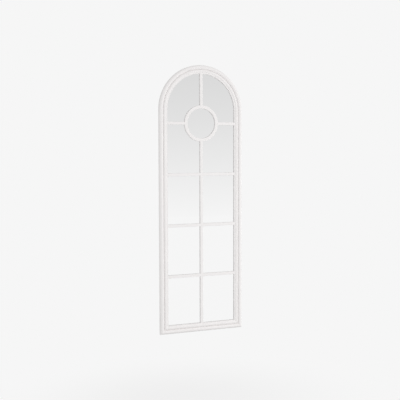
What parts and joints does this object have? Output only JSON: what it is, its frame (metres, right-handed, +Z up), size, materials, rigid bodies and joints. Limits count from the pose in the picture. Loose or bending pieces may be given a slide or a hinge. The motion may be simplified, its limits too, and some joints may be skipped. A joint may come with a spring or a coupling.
{
  "type": "wall mirror",
  "caption": "Tall round-arched wall mirror: white beaded wooden frame, window-style grille of glazing bars with a round oculus over one glass, hung on swinging rings.",
  "frame": {"origin": "middle of the frame's lower edge on the wall plane, where the bottom rail's back rim ends", "axes": "+Z up, +X to the right as seen from the front, +Y into the wall, so the glass faces -Y"},
  "size_m": [0.6, 0.027, 1.8],
  "materials": {
    "white_lacquer": "satin white lacquer",
    "silvered_glass": "silvered",
    "hardboard": "smooth brown hardboard",
    "beech": "bare beech",
    "zinc_steel": "bright zinc",
    "zinc_wire": "bright zinc",
    "foam_tape": "white foam",
    "rubber": "matt black"
  },
  "bodies": {
    "mirror": {"left_stile": "white_lacquer", "right_stile": "white_lacquer", "bottom_rail": "white_lacquer", "arch_left": "white_lacquer", "arch_right": "white_lacquer", "oculus_ring": "white_lacquer", "upper_muntin": "white_lacquer", "long_muntin": "white_lacquer", "left_ring_bar": "white_lacquer", "right_ring_bar": "white_lacquer", "crossbar_1": "white_lacquer", "crossbar_2": "white_lacquer", "crossbar_3": "white_lacquer", "frame_dowels": "beech", "corner_biscuits": "beech", "mirror_glass": "silvered_glass", "setting_blocks": "rubber", "tape_strips": "foam_tape", "back_panel": "hardboard", "panel_screws": "zinc_steel", "hanger_screws": "zinc_steel", "left_hanger_plate": "zinc_steel", "right_hanger_plate": "zinc_steel"},
    "left_ring": {"left_hanger_ring": "zinc_wire"},
    "right_ring": {"right_hanger_ring": "zinc_wire"}
  },
  "joints": [
    {"name": "left_ring_swing", "type": "hinge", "parent": "mirror", "child": "left_ring", "pos_m": [-0.26675, -0.00237, 1.3], "axis": [-1, 0, 0], "range_deg": [0, 175]},
    {"name": "right_ring_swing", "type": "hinge", "parent": "mirror", "child": "right_ring", "pos_m": [0.26675, -0.00237, 1.3], "axis": [-1, 0, 0], "range_deg": [0, 175]}
  ]
}
